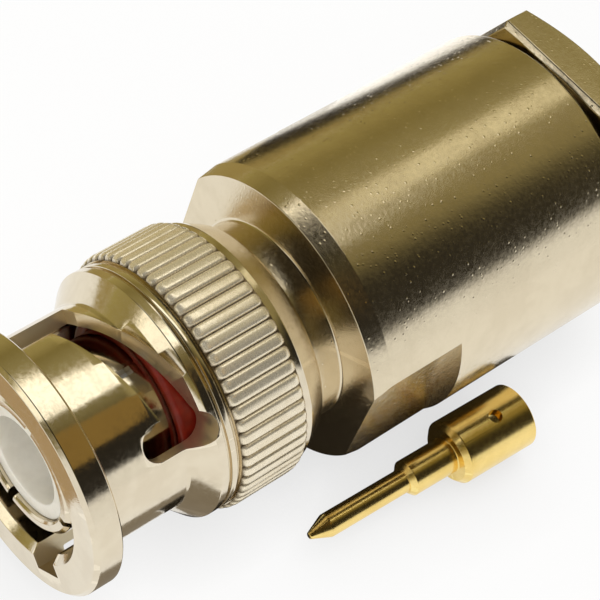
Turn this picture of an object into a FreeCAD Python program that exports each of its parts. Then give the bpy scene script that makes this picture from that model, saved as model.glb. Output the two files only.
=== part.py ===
import FreeCAD, Part
import math
import os

import Sketcher

# Bayonet cable plug for thick coaxial cable, clamp type, lying on a table.
# Millimetres. The origin is on the plug's axis, in the plane of the coupling nut's front face.
# +X runs along the axis towards the cable, +Z is up.

SIZES = {
    # outer contact sleeve, the core that the nose is built round
    "sleeve_front": 0.6, "sleeve_bore": 3.3, "sleeve_wall": 0.75, "sleeve_lip": 0.25,
    "stub_wall": 0.4, "stub_length": 2.4, "contact_slots": 4, "contact_slot_width": 0.45,
    "contact_slot_length": 6.0,
    # neck, retaining ring and spring
    "neck_wall": 0.7, "neck_reach": 3.6, "neck_flange_rise": 0.32, "neck_flange_width": 0.8,
    "ring_width": 0.6, "ring_depth": 0.35, "ring_rise": 0.35, "ring_gap": 1.4,
    "wave_thickness": 0.16, "wave_nest_gap": 0.32, "wave_count": 3, "washer_rise": 0.4,
    "thrust_width": 0.4, "shoulder_rise": 1.2, "shoulder_length": 1.6,
    # coupling nut, across the axis
    "nut_bore_room": 0.55, "mouth_bevel": 0.4, "barrel_wall": 0.8, "rim_rise": 1.45, "land_rise": 1.2,
    "knurl_rise": 0.3, "tail_drop": 0.33, "tail_cone_drop": 0.65, "ring_groove_depth": 0.22,
    # coupling nut, along the axis
    "rim_width": 1.65, "rim_bevel": 0.22, "mouth_depth": 0.45, "bevel_start": 6.6, "bevel_length": 1.15,
    "land_width": 0.45, "ring_groove_width": 0.2, "second_land_width": 0.35, "knurl_length": 4.1,
    "tail_width": 0.4, "tail_cone_length": 1.4, "tail_bevel": 0.2, "nut_back_wall": 2.15,
    "nut_turn": 134.5,
    # coupling nut, knurl
    "knurl_count": 60, "knurl_groove_depth": 0.27, "knurl_groove_half": 0.19, "knurl_root_half": 0.06,
    "knurl_bevel": 0.3,
    # bayonet slots
    "slot_count": 2, "slot_width": 2.0, "entry_rise": 0.3, "entry_past": 1.05,
    "ramp_lead": 1.7, "ramp_pitch": 8.8, "detent_past": 0.55,
    # insulators and face gasket
    "dielectric_setback": 0.3, "dielectric_wall": 0.85, "cavity_depth": 6.7, "dielectric_tail": 1.6,
    "rear_dielectric_flange": 1.6, "gasket_length": 1.85, "gasket_wall": 0.7,
    # cable clamp, from the jacket outwards
    "jacket_radius": 5.15, "braid_drop": 1.4, "braid_nose_wall": 0.75, "braid_nose_length": 2.0,
    "chamber_room": 1.05, "cable_gasket_length": 3.7, "vee_depth": 0.7, "slip_width": 0.8,
    "jacket_room": 0.25, "shank_wall": 1.7, "thread_pitch": 1.0, "thread_depth": 0.35,
    "hex_gap": 0.2, "hex_drop": 0.6, "hex_length": 2.5, "hex_front_bevel": 0.2, "hex_bevel": 0.85,
    "hex_face_drop": 0.25, "hex_turn": 51.5,
    # plug body
    "body_wall": 1.25, "front_taper": 1.07, "front_taper_depth": 0.22, "front_wall": 1.5,
    "chamber_length": 6.4, "clamp_bore_length": 10.35, "rear_bevel": 0.65,
    "flat_depth": 0.85, "flat_length": 5.7,
    # contact pin
    "pin_shaft": 0.675, "pin_nose": 0.18, "pin_nose_length": 1.2, "pin_shaft_length": 6.4,
    "pin_collar_rise": 0.365, "pin_collar_length": 3.1, "pin_barrel_rise": 0.84, "pin_barrel_length": 4.9,
    "pin_bevel": 0.3, "pin_wall": 0.63, "solder_floor": 0.8, "sight_hole_radius": 0.4,
    "pin_setback": 2.95, "pin_gap": 1.0, "pin_yaw": 1.8,
    # clearances
    "seat_fit": 0.03, "running_fit": 0.06, "face_gap": 0.05,
}

doc = FreeCAD.newDocument("bayonet_plug")
sheet = doc.addObject("Spreadsheet::Sheet", "Sizes")
for row, (alias, value) in enumerate(SIZES.items(), start=1):
    sheet.set("A%d" % row, str(value))
    sheet.setAlias("A%d" % row, alias)
doc.recompute()


class Size:
    """A length with its number and the sheet expression that gives it."""

    def __init__(self, value, text):
        self.value = value
        self.text = text

    def _with(self, other, sign, value):
        return Size(value, "(%s %s %s)" % (self.text, sign, text_of(other)))

    def __add__(self, other):
        return self._with(other, "+", self.value + number_of(other))

    def __sub__(self, other):
        return self._with(other, "-", self.value - number_of(other))

    def __mul__(self, other):
        return self._with(other, "*", self.value * number_of(other))

    def __truediv__(self, other):
        return self._with(other, "/", self.value / number_of(other))

    def __neg__(self):
        return Size(-self.value, "(0 - %s)" % self.text)


def number_of(length):
    return length.value if isinstance(length, Size) else float(length)


def text_of(length):
    return length.text if isinstance(length, Size) else str(length)


def size(alias):
    """The named cell of the sheet."""
    return Size(float(sheet.get(alias)), "Sizes.%s" % alias)


def origin_feature(body, role):
    return next(f for f in body.Origin.OriginFeatures if f.Role == role)


def new_body(label):
    body = doc.addObject("PartDesign::Body", label)
    body.Label = label
    return body


def new_sketch(body, name, plane, offset=None):
    """An empty sketch on one of the body's own origin planes."""
    sketch = body.newObject("Sketcher::SketchObject", "%s_%s" % (body.Label, name))
    sketch.AttachmentSupport = (origin_feature(body, plane), [""])
    sketch.MapMode = "FlatFace"
    if offset is not None:
        sketch.AttachmentOffset = FreeCAD.Placement(FreeCAD.Vector(0, 0, offset.value), FreeCAD.Rotation())
        sketch.setExpression("AttachmentOffset.Base.z", offset.text)
    return sketch


def fix(sketch, kind, geometry, vertex, length):
    """Ties one coordinate of a vertex to a length, or to an axis where the length is nought."""
    if number_of(length) == 0:
        axis = -2 if kind == "DistanceX" else -1
        sketch.addConstraint(Sketcher.Constraint("PointOnObject", geometry, vertex, axis))
        return
    index = sketch.addConstraint(
        Sketcher.Constraint(kind, -1, 1, geometry, vertex, number_of(length)))
    if isinstance(length, Size):
        name = "%s_%d_%d" % (kind, geometry, vertex)
        sketch.renameConstraint(index, name)
        sketch.setExpression("Constraints." + name, length.text)


def outline(body, name, plane, points, offset=None):
    """A closed outline of straight lines through the points."""
    sketch = new_sketch(body, name, plane, offset)
    places = [FreeCAD.Vector(number_of(a), number_of(b), 0) for a, b in points]
    count = len(points)
    for i in range(count):
        sketch.addGeometry(Part.LineSegment(places[i], places[(i + 1) % count]), False)
    for i in range(count):
        sketch.addConstraint(Sketcher.Constraint("Coincident", i, 2, (i + 1) % count, 1))
    for i, (a, b) in enumerate(points):
        fix(sketch, "DistanceX", i, 1, a)
        fix(sketch, "DistanceY", i, 1, b)
    return sketch


def stadium(body, name, plane, low, high, half_width):
    """A slot outline along the sketch's first axis, with round ends about two centres."""
    sketch = new_sketch(body, name, plane)
    a, b, w = low.value, high.value, half_width.value
    quarter = math.pi / 2
    up = FreeCAD.Vector(0, 0, 1)
    first = Part.Circle(FreeCAD.Vector(a, 0, 0), up, w)
    last = Part.Circle(FreeCAD.Vector(b, 0, 0), up, w)
    sketch.addGeometry(Part.LineSegment(FreeCAD.Vector(a, -w, 0), FreeCAD.Vector(b, -w, 0)), False)
    sketch.addGeometry(Part.ArcOfCircle(last, -quarter, quarter), False)
    sketch.addGeometry(Part.LineSegment(FreeCAD.Vector(b, w, 0), FreeCAD.Vector(a, w, 0)), False)
    sketch.addGeometry(Part.ArcOfCircle(first, quarter, 3 * quarter), False)
    for line, start, arc, end in ((0, 2, 1, 1), (2, 1, 1, 2), (2, 2, 3, 1), (0, 1, 3, 2)):
        sketch.addConstraint(Sketcher.Constraint("Tangent", line, start, arc, end))
    fix(sketch, "DistanceX", 1, 3, high)
    fix(sketch, "DistanceX", 3, 3, low)
    sketch.addConstraint(Sketcher.Constraint("PointOnObject", 1, 3, -1))
    sketch.addConstraint(Sketcher.Constraint("PointOnObject", 3, 3, -1))
    index = sketch.addConstraint(Sketcher.Constraint("Radius", 1, w))
    sketch.renameConstraint(index, "end_radius")
    sketch.setExpression("Constraints.end_radius", half_width.text)
    return sketch


def circle(body, name, plane, along, radius, offset=None):
    """A circle centred on the sketch's first axis."""
    sketch = new_sketch(body, name, plane, offset)
    place = FreeCAD.Vector(number_of(along), 0, 0)
    sketch.addGeometry(Part.Circle(place, FreeCAD.Vector(0, 0, 1), radius.value), False)
    fix(sketch, "DistanceX", 0, 3, along)
    sketch.addConstraint(Sketcher.Constraint("PointOnObject", 0, 3, -1))
    index = sketch.addConstraint(Sketcher.Constraint("Radius", 0, radius.value))
    sketch.renameConstraint(index, "radius")
    sketch.setExpression("Constraints.radius", radius.text)
    return sketch


def turn(body, name, points):
    """Turns a half section, given as distance along the axis and radius, about the axis."""
    section = outline(body, name + "_section", "XZ_Plane", points)
    feature = body.newObject("PartDesign::Revolution", "%s_%s" % (body.Label, name))
    feature.Profile = section
    feature.ReferenceAxis = (section, ["H_Axis"])
    feature.Angle = 360
    doc.recompute()
    return feature


def groove(body, name, points):
    """Turns a section away from the solid."""
    section = outline(body, name + "_section", "XZ_Plane", points)
    feature = body.newObject("PartDesign::Groove", "%s_%s" % (body.Label, name))
    feature.Profile = section
    feature.ReferenceAxis = (section, ["H_Axis"])
    feature.Angle = 360
    return must_cut(body, feature)


def pocket(body, name, sketch, length, reverse=False):
    """Cuts a sketch away from the solid, to a depth."""
    feature = body.newObject("PartDesign::Pocket", "%s_%s" % (body.Label, name))
    feature.Profile = sketch
    feature.Reversed = reverse
    feature.Length = number_of(length)
    feature.setExpression("Length", text_of(length))
    return must_cut(body, feature)


def must_cut(body, feature):
    """Stops where a cut has taken nothing away."""
    before = feature.BaseFeature.Shape.Volume
    doc.recompute()
    if feature.Shape.Volume > before - 1e-4:
        raise RuntimeError("%s cuts nothing" % feature.Name)
    return feature


def pattern(body, name, features, count):
    """Repeats features round the axis."""
    feature = body.newObject("PartDesign::PolarPattern", "%s_%s" % (body.Label, name))
    feature.Originals = features
    feature.Axis = (origin_feature(body, "X_Axis"), [""])
    feature.Angle = 360
    feature.Occurrences = int(count.value)
    feature.setExpression("Occurrences", count.text)
    body.Tip = feature
    doc.recompute()
    return feature


def spin(body, angle):
    """Turns a finished piece about the plug's axis."""
    body.Placement = FreeCAD.Placement(
        FreeCAD.Vector(), FreeCAD.Rotation(FreeCAD.Vector(1, 0, 0), angle.value))
    body.setExpression("Placement.Rotation.Angle", angle.text)


def ring(label, front, rear, inner, outer):
    """A plain ring or washer."""
    body = new_body(label)
    turn(body, "turned", [(front, inner), (rear, inner), (rear, outer), (front, outer)])
    return body


# Clearances

seat_fit = size("seat_fit")
running_fit = size("running_fit")
face_gap = size("face_gap")

# Radii of the nose, from the sleeve's bore outwards

sleeve_bore = size("sleeve_bore")
sleeve_radius = sleeve_bore + size("sleeve_wall")
stub_radius = sleeve_bore + size("stub_wall")
neck_radius = stub_radius + size("neck_wall")
neck_flange_radius = neck_radius + size("neck_flange_rise")
spring_outer = neck_radius + size("washer_rise")
shoulder_radius = neck_radius + size("shoulder_rise")
nut_bore_radius = neck_radius + size("nut_bore_room")
barrel_radius = nut_bore_radius + size("barrel_wall")
rim_radius = barrel_radius + size("rim_rise")
land_radius = barrel_radius + size("land_rise")
knurl_radius = land_radius + size("knurl_rise")
knurl_root = knurl_radius - size("knurl_groove_depth")
tail_radius = knurl_radius - size("tail_drop")
tail_end_radius = tail_radius - size("tail_cone_drop")

# Radii of the clamp, from the cable's jacket outwards

jacket_radius = size("jacket_radius")
chamber_radius = jacket_radius + size("chamber_room")
clamp_bore = jacket_radius + size("jacket_room")
clamp_bore_radius = clamp_bore + size("shank_wall")
clamp_radius = clamp_bore_radius - running_fit
body_radius = clamp_bore_radius + size("body_wall")
hex_flat = body_radius - size("hex_drop")
hex_face_radius = hex_flat - size("hex_face_drop")
cos30 = round(math.cos(math.radians(30)), 6)

# Radii of the contact pin

pin_collar = size("pin_shaft") + size("pin_collar_rise")
pin_barrel = pin_collar + size("pin_barrel_rise")
solder_bore = pin_barrel - size("pin_wall")

# Places along the axis, from the nut's front face to the hexagon's rear face

ramp_start = size("bevel_start") - size("ramp_lead")
bevel_end = size("bevel_start") + size("bevel_length")
land_end = bevel_end + size("land_width")
second_land_start = land_end + size("ring_groove_width")
second_land_end = second_land_start + size("second_land_width")
knurl_start = second_land_end + size("ring_groove_width")
knurl_end = knurl_start + size("knurl_length")
tail_cone_start = knurl_end + size("tail_width")
nut_length = tail_cone_start + size("tail_cone_length")
shoulder_face = nut_length - size("nut_back_wall")
thrust_rear = shoulder_face - face_gap
thrust_front = thrust_rear - size("thrust_width")
neck_front = shoulder_face - size("neck_reach")
clip_front = neck_front + size("neck_flange_width")
clip_rear = clip_front + size("ring_width")
stub_end = neck_front + size("stub_length")
front_dielectric_end = neck_front + size("dielectric_tail")
nut_stop = nut_length + face_gap
body_front = nut_stop + size("shoulder_length")
chamber_front = body_front + size("front_wall")
rear_dielectric_end = chamber_front + size("rear_dielectric_flange")
braid_front = rear_dielectric_end + face_gap
clamp_bore_start = chamber_front + size("chamber_length")
cable_gasket_front = clamp_bore_start + face_gap
cable_gasket_rear = cable_gasket_front + size("cable_gasket_length")
slip_front = cable_gasket_rear + face_gap
slip_rear = slip_front + size("slip_width")
shank_front = slip_rear + face_gap
body_end = clamp_bore_start + size("clamp_bore_length")
hex_front = body_end + size("hex_gap")
hex_rear = hex_front + size("hex_length")


def make_coupling_nut():
    """The nut with its rim, knurled grip and two bayonet slots."""
    nut = new_body("coupling_nut")
    bevel = size("rim_bevel")
    rim_width = size("rim_width")
    ring_root = land_radius - size("ring_groove_depth")
    knurl_bevel = size("knurl_bevel")
    knurl_foot = knurl_root - seat_fit
    turn(nut, "turned", [
        (0, rim_radius - bevel),
        (bevel, rim_radius),
        (rim_width - bevel / 2, rim_radius),
        (rim_width, rim_radius - bevel / 2),
        (rim_width, barrel_radius),
        (size("bevel_start"), barrel_radius),
        (bevel_end, land_radius),
        (land_end, land_radius),
        (land_end, ring_root),
        (second_land_start, ring_root),
        (second_land_start, land_radius),
        (second_land_end, land_radius),
        (second_land_end, ring_root),
        (knurl_start, ring_root),
        (knurl_start, knurl_foot),
        (knurl_start + knurl_bevel, knurl_radius),
        (knurl_end - knurl_bevel, knurl_radius),
        (knurl_end, knurl_foot),
        (knurl_end, tail_radius),
        (tail_cone_start, tail_radius),
        (nut_length - size("tail_bevel"), tail_end_radius),
        (nut_length, tail_end_radius - size("tail_bevel")),
        (nut_length, neck_radius + running_fit),
        (shoulder_face, neck_radius + running_fit),
        (shoulder_face, nut_bore_radius),
        (size("mouth_depth"), nut_bore_radius),
        (0, nut_bore_radius + size("mouth_bevel")),
    ])
    half = size("slot_width") / 2
    inside = nut_bore_radius - half / 2
    outside = rim_radius - half / 2

    entry_radius = barrel_radius + size("entry_rise")
    entry = outline(nut, "entry_outline", "YZ_Plane", [
        (-half, inside), (half, inside), (half, entry_radius), (-half, entry_radius)])
    entry_cut = pocket(nut, "entry", entry, ramp_start + size("entry_past"), reverse=True)

    ramp = outline(nut, "ramp_outline", "XZ_Plane", [
        (ramp_start - half, inside), (ramp_start + half, inside),
        (ramp_start + half, outside), (ramp_start - half, outside)])
    ramp_rise = size("ramp_pitch") / 4
    ramp_cut = nut.newObject("PartDesign::SubtractiveHelix", "coupling_nut_ramp")
    ramp_cut.Profile = ramp
    ramp_cut.ReferenceAxis = (ramp, ["H_Axis"])
    ramp_cut.Mode = "pitch-height-angle"
    ramp_cut.Pitch = size("ramp_pitch").value
    ramp_cut.Height = ramp_rise.value
    ramp_cut.setExpression("Pitch", "Sizes.ramp_pitch")
    ramp_cut.setExpression("Height", ramp_rise.text)
    must_cut(nut, ramp_cut)

    detent = stadium(nut, "detent_outline", "XZ_Plane", ramp_start + size("detent_past"),
                     ramp_start + ramp_rise, half)
    detent_cut = pocket(nut, "detent", detent, rim_radius, reverse=True)
    pattern(nut, "slots", [entry_cut, ramp_cut, detent_cut], size("slot_count"))

    top = knurl_radius + seat_fit
    tooth_gap = outline(nut, "knurl_outline", "YZ_Plane", [
        (-size("knurl_root_half"), knurl_root), (size("knurl_root_half"), knurl_root),
        (size("knurl_groove_half"), top), (-size("knurl_groove_half"), top)], knurl_end)
    tooth_cut = pocket(nut, "knurl_gap", tooth_gap, size("knurl_length"))
    pattern(nut, "knurl", [tooth_cut], size("knurl_count"))
    spin(nut, size("nut_turn"))
    return nut


def make_plug_body():
    """The body: neck for the coupling nut, barrel with spanner flats, clamp bore."""
    body = new_body("plug_body")
    turn(body, "turned", [
        (neck_front, stub_radius + seat_fit),
        (neck_front, neck_flange_radius),
        (clip_front, neck_flange_radius),
        (clip_front, neck_radius - size("ring_depth")),
        (clip_rear, neck_radius - size("ring_depth")),
        (clip_rear, neck_radius),
        (nut_stop, neck_radius),
        (nut_stop, shoulder_radius),
        (body_front, shoulder_radius),
        (body_front, body_radius - size("front_taper_depth")),
        (body_front + size("front_taper"), body_radius),
        (body_end - size("rear_bevel"), body_radius),
        (body_end, body_radius - size("rear_bevel")),
        (body_end, clamp_bore_radius),
        (clamp_bore_start, clamp_bore_radius),
        (clamp_bore_start, chamber_radius),
        (chamber_front, chamber_radius),
        (chamber_front, sleeve_bore),
        (stub_end, sleeve_bore),
        (stub_end, stub_radius + seat_fit),
    ])
    flat = body_radius - size("flat_depth")
    edge = body_radius + seat_fit
    for side, name in ((1, "left"), (-1, "right")):
        sketch = outline(body, name + "_flat_outline", "YZ_Plane", [
            (flat * side, -edge), (edge * side, -edge), (edge * side, edge), (flat * side, edge)],
            body_front)
        pocket(body, name + "_flat", sketch, size("flat_length"), reverse=True)
    return body


def make_outer_contact():
    """The slotted sleeve that springs inside the mating socket."""
    sleeve = new_body("outer_contact")
    lip = size("sleeve_lip")
    front = size("sleeve_front")
    turn(sleeve, "turned", [
        (front, sleeve_bore + lip / 2),
        (front, sleeve_radius - lip),
        (front + lip, sleeve_radius),
        (neck_front - face_gap, sleeve_radius),
        (neck_front - face_gap, stub_radius),
        (stub_end - face_gap, stub_radius),
        (stub_end - face_gap, sleeve_bore),
        (front + lip / 2, sleeve_bore),
    ])
    half = size("contact_slot_width") / 2
    reach = sleeve_radius + lip
    saw = outline(sleeve, "slot_outline", "YZ_Plane", [
        (-half, half), (half, half), (half, reach), (-half, reach)], front)
    cut = pocket(sleeve, "slot", saw, size("contact_slot_length"), reverse=True)
    pattern(sleeve, "slots", [cut], size("contact_slots"))
    return sleeve


def make_front_insulator():
    """The white cup that the socket's own insulator enters."""
    cup = new_body("front_insulator")
    front = size("sleeve_front") + size("dielectric_setback")
    floor = front + size("cavity_depth")
    outer = sleeve_bore - seat_fit
    cavity = sleeve_bore - size("dielectric_wall")
    hole = pin_collar + seat_fit
    turn(cup, "turned", [
        (front, cavity), (front, outer), (front_dielectric_end, outer),
        (front_dielectric_end, hole), (floor, hole), (floor, cavity)])
    return cup


def make_rear_insulator():
    """The flanged bush that carries the contact pin's barrel."""
    bush = new_body("rear_insulator")
    front = front_dielectric_end + face_gap
    flange = chamber_front + face_gap
    shank = sleeve_bore - seat_fit
    outer = chamber_radius - seat_fit
    hole = pin_barrel + seat_fit
    turn(bush, "turned", [
        (front, hole), (front, shank), (flange, shank), (flange, outer),
        (rear_dielectric_end, outer), (rear_dielectric_end, hole)])
    return bush


def make_retaining_ring():
    """The split ring that keeps the nut and its spring on the neck."""
    clip = new_body("retaining_ring")
    inner = neck_radius - size("ring_depth") + seat_fit
    outer = neck_radius + size("ring_rise")
    turn(clip, "turned", [
        (clip_front + face_gap, inner), (clip_rear - face_gap, inner),
        (clip_rear - face_gap, outer), (clip_front + face_gap, outer)])
    half = size("ring_gap") / 2
    reach = outer + seat_fit
    gap = outline(clip, "gap_outline", "YZ_Plane", [
        (-half, half), (half, half), (half, reach), (-half, reach)], clip_rear)
    pocket(clip, "gap", gap, size("ring_width"))
    return clip


def wavy_circle(place, radius, wave, count):
    """A closed curve round the axis that rises and falls along it."""
    steps = 8 * count
    points = []
    for i in range(steps):
        angle = 2 * math.pi * i / steps
        points.append(FreeCAD.Vector(place + wave * math.cos(count * angle),
                                     radius * math.cos(angle), radius * math.sin(angle)))
    curve = Part.BSplineCurve()
    curve.interpolate(Points=points, PeriodicFlag=True)
    return curve.toShape()


def make_wave_washer(label, place, wave):
    """A sheet ring pressed into waves of a given rise, centred on a place along the axis."""
    inner = (neck_radius + running_fit).value
    outer = spring_outer.value
    count = int(size("wave_count").value)
    low = place - size("wave_thickness").value / 2
    high = place + size("wave_thickness").value / 2
    edges = [wavy_circle(x, r, wave, count) for x, r in
             ((low, inner), (low, outer), (high, outer), (high, inner))]
    faces = [Part.makeRuledSurface(edges[i], edges[(i + 1) % 4]) for i in range(4)]
    shell = Part.makeShell(faces)
    shell.sewShape()
    solid = Part.makeSolid(shell)
    if solid.Volume < 0:
        solid.reverse()
    washer = doc.addObject("Part::Feature", label)
    washer.Label = label
    washer.Shape = solid
    washer.Placement = FreeCAD.Placement()
    return washer


def make_spring_washers():
    """Two wave washers, nested between the retaining ring and the thrust washer."""
    middle = (clip_rear.value + thrust_front.value) / 2
    step = size("wave_nest_gap").value / 2
    room = (thrust_front - clip_rear - face_gap * 2).value
    wave = (room - size("wave_thickness").value) / 2 - step
    return [make_wave_washer("wave_washer_front", middle - step, wave),
            make_wave_washer("wave_washer_rear", middle + step, wave)]


def make_braid_clamp():
    """The tapered ferrule that the cable's braid is folded over."""
    ferrule = new_body("braid_clamp")
    inner = jacket_radius - size("braid_drop")
    outer = chamber_radius - seat_fit
    jacket_bore = jacket_radius + seat_fit
    nose_end = braid_front + size("braid_nose_length")
    turn(ferrule, "turned", [
        (braid_front, inner), (braid_front, inner + size("braid_nose_wall")), (nose_end, outer),
        (clamp_bore_start, outer), (clamp_bore_start, jacket_bore),
        (nose_end, jacket_bore), (nose_end, inner)])
    return ferrule


def make_cable_gasket():
    """The soft ring with a vee in its front face that grips the jacket."""
    gasket = new_body("cable_gasket")
    inner = jacket_radius + seat_fit
    outer = clamp_bore_radius - seat_fit
    middle = (inner + outer) / 2
    turn(gasket, "turned", [
        (cable_gasket_front, inner), (cable_gasket_front + size("vee_depth"), middle),
        (cable_gasket_front, outer), (cable_gasket_rear, outer), (cable_gasket_rear, inner)])
    return gasket


def hexagon(body, name, flat, offset):
    """A hexagon about the axis, with a flat on top, at a place along the axis."""
    corner = flat / cos30
    return outline(body, name, "YZ_Plane", [
        (corner, 0), (corner / 2, flat), (-corner / 2, flat),
        (-corner, 0), (-corner / 2, -flat), (corner / 2, -flat)], offset)


def make_clamp_nut():
    """The hexagon nut with its threaded shank and cable bore."""
    nut = new_body("clamp_nut")
    pitch = size("thread_pitch")
    root = clamp_radius - size("thread_depth")
    section = [(shank_front, clamp_bore), (shank_front, root)]
    place = shank_front
    for _ in range(int((hex_front - shank_front).value / pitch.value)):
        section += [(place + pitch / 2, clamp_radius), (place + pitch, root)]
        place = place + pitch
    section += [(hex_front + seat_fit, root), (hex_front + seat_fit, clamp_bore)]
    turn(nut, "shank", section)

    bevel = size("hex_front_bevel")
    front = hexagon(nut, "front_outline", hex_flat - bevel, hex_front)
    full = hexagon(nut, "hexagon_outline", hex_flat, hex_front + bevel)
    edge = nut.newObject("PartDesign::AdditiveLoft", "clamp_nut_front_bevel")
    edge.Profile = front
    edge.Sections = [full]
    edge.Ruled = True
    head = nut.newObject("PartDesign::Pad", "clamp_nut_head")
    head.Profile = full
    length = size("hex_length") - bevel
    head.Length = length.value
    head.setExpression("Length", length.text)
    doc.recompute()

    corner = hex_flat / cos30
    hole = circle(nut, "bore_outline", "YZ_Plane", 0, clamp_bore, hex_rear)
    pocket(nut, "bore", hole, size("hex_length"))
    groove(nut, "corners", [
        (hex_rear - size("hex_bevel"), corner), (hex_rear, hex_face_radius),
        (hex_rear + seat_fit, hex_face_radius), (hex_rear + seat_fit, corner + seat_fit),
        (hex_rear - size("hex_bevel"), corner + seat_fit)])
    spin(nut, size("hex_turn"))
    return nut


def make_contact_pin():
    """The loose contact pin, lying on the table beside the plug."""
    pin = new_body("contact_pin")
    shaft_end = size("pin_shaft_length")
    collar_end = shaft_end + size("pin_collar_length")
    barrel_end = collar_end + size("pin_barrel_length")
    bevel = size("pin_bevel")
    solder_end = collar_end + size("solder_floor")
    turn(pin, "turned", [
        (0, 0), (0, size("pin_nose")), (size("pin_nose_length"), size("pin_shaft")),
        (shaft_end, size("pin_shaft")), (shaft_end, pin_collar - bevel),
        (shaft_end + bevel, pin_collar), (collar_end, pin_collar),
        (collar_end, pin_barrel - bevel), (collar_end + bevel, pin_barrel),
        (barrel_end, pin_barrel), (barrel_end, solder_bore),
        (solder_end, solder_bore), (solder_end - solder_bore / 2, 0)])
    hole = circle(pin, "sight_hole_outline", "XY_Plane", (solder_end + barrel_end) / 2,
                  size("sight_hole_radius"))
    pocket(pin, "sight_hole", hole, pin_barrel + seat_fit)

    along = body_front - size("pin_setback")
    beside = -(body_radius + size("pin_gap"))
    height = pin_barrel - body_radius
    yaw = size("pin_yaw")
    pin.Placement = FreeCAD.Placement(
        FreeCAD.Vector(along.value, beside.value, height.value),
        FreeCAD.Rotation(FreeCAD.Vector(0, 0, -1), yaw.value))
    pin.setExpression("Placement.Base.x", along.text)
    pin.setExpression("Placement.Base.y", beside.text)
    pin.setExpression("Placement.Base.z", height.text)
    pin.setExpression("Placement.Rotation.Angle", yaw.text)
    return pin


pieces = [
    make_coupling_nut(),
    make_plug_body(),
    make_outer_contact(),
    make_front_insulator(),
    make_rear_insulator(),
    ring("face_gasket", neck_front - face_gap - size("gasket_length"), neck_front - face_gap,
         sleeve_radius + seat_fit, sleeve_radius + size("gasket_wall")),
    make_retaining_ring(),
    *make_spring_washers(),
    ring("thrust_washer", thrust_front, thrust_rear, neck_radius + running_fit, spring_outer),
    make_braid_clamp(),
    make_cable_gasket(),
    ring("slip_washer", slip_front, slip_rear, clamp_bore, clamp_radius),
    make_clamp_nut(),
    make_contact_pin(),
]

doc.recompute()

for item in doc.Objects:
    if "Invalid" in item.State or "Error" in item.State:
        raise RuntimeError("%s failed" % item.Name)
for piece in pieces:
    if piece.Shape.isNull() or not piece.Shape.isValid():
        raise RuntimeError("%s has no valid shape" % piece.Label)

os.makedirs("parts", exist_ok=True)
for piece in pieces:
    piece.Shape.exportStep("parts/%s.step" % piece.Label)
    print("%-20s %9.2f mm3 %d solid" % (piece.Label, piece.Shape.Volume, len(piece.Shape.Solids)))
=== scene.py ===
"""Looks for a bayonet cable plug with its loose contact pin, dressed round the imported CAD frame."""

import logging
import math
from collections.abc import Callable, Iterable, Sequence
from dataclasses import dataclass, field
from enum import Enum

import bpy
from mathutils import Matrix, Vector


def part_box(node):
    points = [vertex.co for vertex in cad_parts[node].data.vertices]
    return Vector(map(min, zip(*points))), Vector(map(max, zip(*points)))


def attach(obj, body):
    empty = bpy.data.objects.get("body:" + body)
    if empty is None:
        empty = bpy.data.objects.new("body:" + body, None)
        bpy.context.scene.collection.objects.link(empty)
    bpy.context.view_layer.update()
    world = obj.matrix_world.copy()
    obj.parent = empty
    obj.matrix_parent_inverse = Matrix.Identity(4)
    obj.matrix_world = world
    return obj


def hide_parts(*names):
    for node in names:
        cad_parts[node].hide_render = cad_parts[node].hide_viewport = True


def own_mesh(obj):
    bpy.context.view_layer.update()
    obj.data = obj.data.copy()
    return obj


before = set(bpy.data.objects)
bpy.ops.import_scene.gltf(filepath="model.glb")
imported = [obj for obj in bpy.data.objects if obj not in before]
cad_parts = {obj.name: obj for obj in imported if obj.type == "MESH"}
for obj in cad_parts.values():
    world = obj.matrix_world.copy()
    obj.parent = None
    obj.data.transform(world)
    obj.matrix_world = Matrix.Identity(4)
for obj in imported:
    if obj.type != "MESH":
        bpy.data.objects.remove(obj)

logging.basicConfig(level=logging.INFO, format="%(levelname)s %(message)s")
log = logging.getLogger("bayonet_plug")

MM = 0.001
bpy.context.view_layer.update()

Corner = tuple[float, float, float]
Ring = tuple[float, float, float, float]
Colour = tuple[float, float, float]
Object = bpy.types.Object
Material = bpy.types.Material
Node = bpy.types.Node
NodeTree = bpy.types.NodeTree
Socket = bpy.types.NodeSocket
Sockets = bpy.types.bpy_prop_collection

# The first two are in millimetres and STRAIGHT is in radians; the others are a share and a cosine
LEAST_ROUNDING = 0.004
TINY = 0.005
STRAIGHT = 1e-4
ROUNDING_SHARE = 0.45
ALONG_AN_AXIS = 0.99999


class Rider(Enum):
    """The CAD bodies that pieces move with."""

    PLUG = "plug"
    COUPLING = "coupling"
    CLAMP = "clamp"
    CLAMP_FOLLOWER = "clamp_follower"


class Slot(Enum):
    """The record's material slots."""

    NICKEL = "nickel_plate"
    GOLD = "gold_plate"
    SPRING = "spring_steel"
    WHITE = "white_insulator"
    RED = "red_gasket"
    DARK = "dark_gasket"


def direction(elevation: float, azimuth: float) -> Vector:
    """A unit vector.

    Args:
        elevation: Degrees above the table.
        azimuth: Degrees about +Z, from +X towards +Y.

    Returns:
        The direction in the CAD frame.
    """
    e, a = math.radians(elevation), math.radians(azimuth)
    return Vector((math.cos(e) * math.cos(a), math.cos(e) * math.sin(a), math.sin(e)))


def twice_area(section: Sequence[Sequence[float]]) -> float:
    """Twice the area inside a closed section, signed by the way round that it runs."""
    return sum(a[0] * b[1] - b[0] * a[1] for a, b in zip(section, [*section[1:], section[0]]))


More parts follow.
